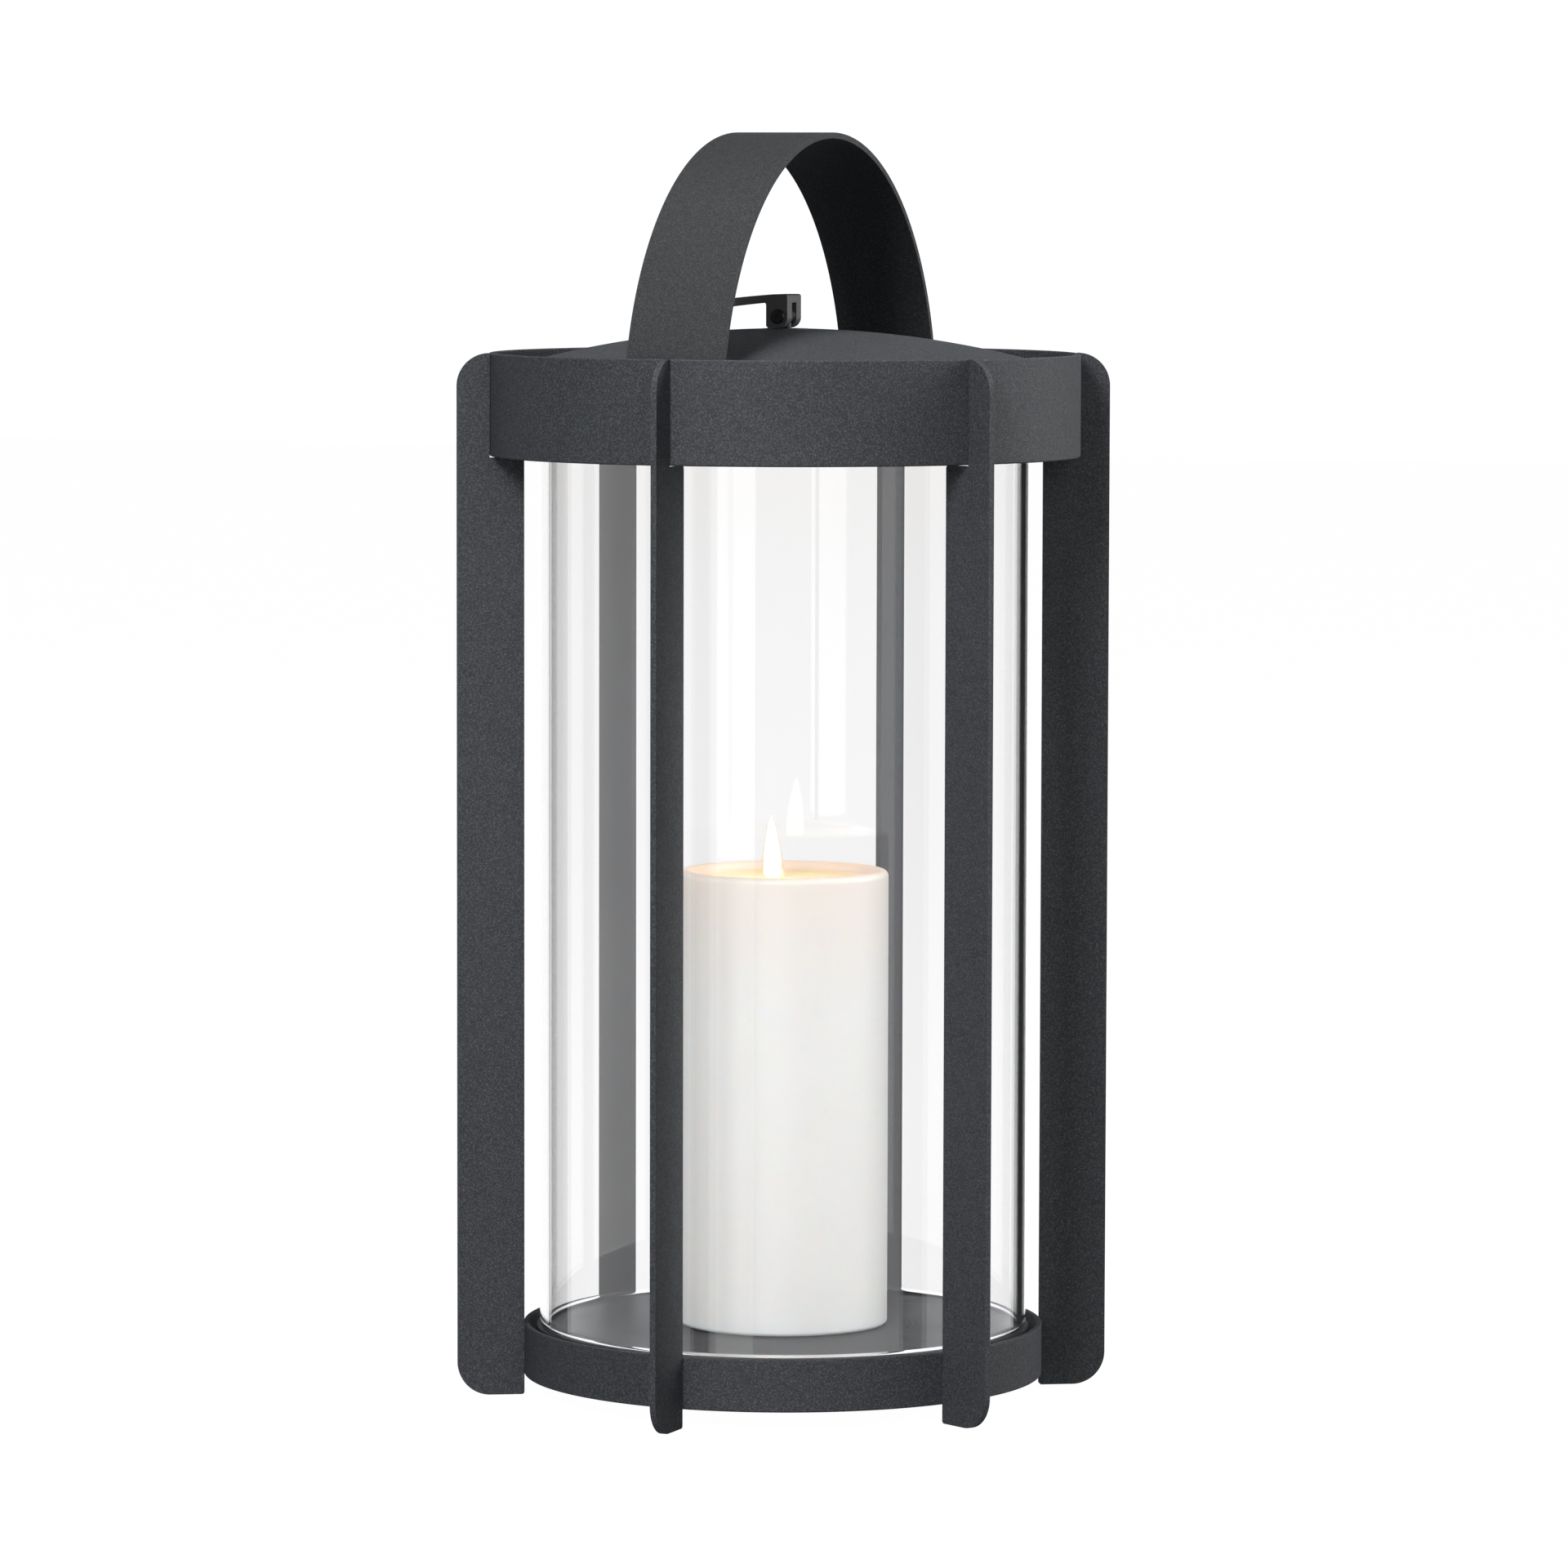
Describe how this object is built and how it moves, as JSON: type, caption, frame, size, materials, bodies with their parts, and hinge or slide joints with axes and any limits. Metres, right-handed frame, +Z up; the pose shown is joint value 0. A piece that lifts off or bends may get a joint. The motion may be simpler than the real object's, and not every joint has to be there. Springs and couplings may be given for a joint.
{
  "type": "candle lantern",
  "caption": "Tall cylindrical candle lantern: steel plates stand edge-on round a clear glass tube, with a domed lift-off lid, strap handle and lever clamp.",
  "frame": {"origin": "centre of the six feet, on the surface the lantern stands on", "axes": "+Z up along the lantern's axis; the handle arches over the lid in the YZ plane; the clamp lever's arm points along -X when it is closed"},
  "size_m": [0.2246, 0.25, 0.4804],
  "materials": {
    "coated_steel": "fine textured powder coat, satin",
    "base_steel": "satin",
    "spring_steel": "ground",
    "pin_steel": "blackened",
    "black_plastic": "fine spark texture",
    "pad_rubber": "matte",
    "clear_glass": "clear, polished ends",
    "candle_wax": "smooth wax",
    "wick_cotton": "charred"
  },
  "bodies": {
    "frame": {"top_band": "coated_steel", "bottom_band": "coated_steel", "base_plate": "base_steel", "base_tab_1": "base_steel", "base_tab_2": "base_steel", "base_tab_3": "base_steel", "upright_1": "coated_steel", "upright_2": "coated_steel", "upright_3": "coated_steel", "upright_4": "coated_steel", "upright_5": "coated_steel", "upright_6": "coated_steel"},
    "lid": {"lid": "coated_steel", "handle": "coated_steel", "handle_rivet_1": "coated_steel", "handle_rivet_2": "coated_steel", "handle_rivet_3": "coated_steel", "handle_rivet_4": "coated_steel", "latch_washer": "black_plastic"},
    "clamp": {"latch_stud": "spring_steel", "latch_nut": "spring_steel", "clamp_spring": "spring_steel", "clamp_pad_1": "pad_rubber", "clamp_pad_2": "pad_rubber"},
    "lever": {"latch_lever": "black_plastic", "lever_pin": "pin_steel"},
    "glass": {"glass_cylinder": "clear_glass"},
    "candle": {"candle": "candle_wax", "wick": "wick_cotton"}
  },
  "joints": [
    {"name": "lid_lift", "type": "slide", "parent": "frame", "child": "lid", "axis": [0, 0, 1], "range_m": [0, 0.12]},
    {"name": "clamp_release", "type": "slide", "parent": "lid", "child": "clamp", "axis": [0, 0, -1], "range_m": [0, 0.0007]},
    {"name": "lever_flip", "type": "hinge", "parent": "clamp", "child": "lever", "pos_m": [0, 0, 0.4109], "axis": [0, 1, 0], "range_deg": [0, 90]},
    {"name": "glass_lift", "type": "slide", "parent": "frame", "child": "glass", "axis": [0, 0, 1], "range_m": [0, 0.015]},
    {"name": "candle_lift", "type": "slide", "parent": "frame", "child": "candle", "axis": [0, 0, 1], "range_m": [0, 0.14]}
  ],
  "couplings": [
    {"joint": "lever_flip", "follows": "clamp_release", "rad_per_m": 2243.9}
  ]
}
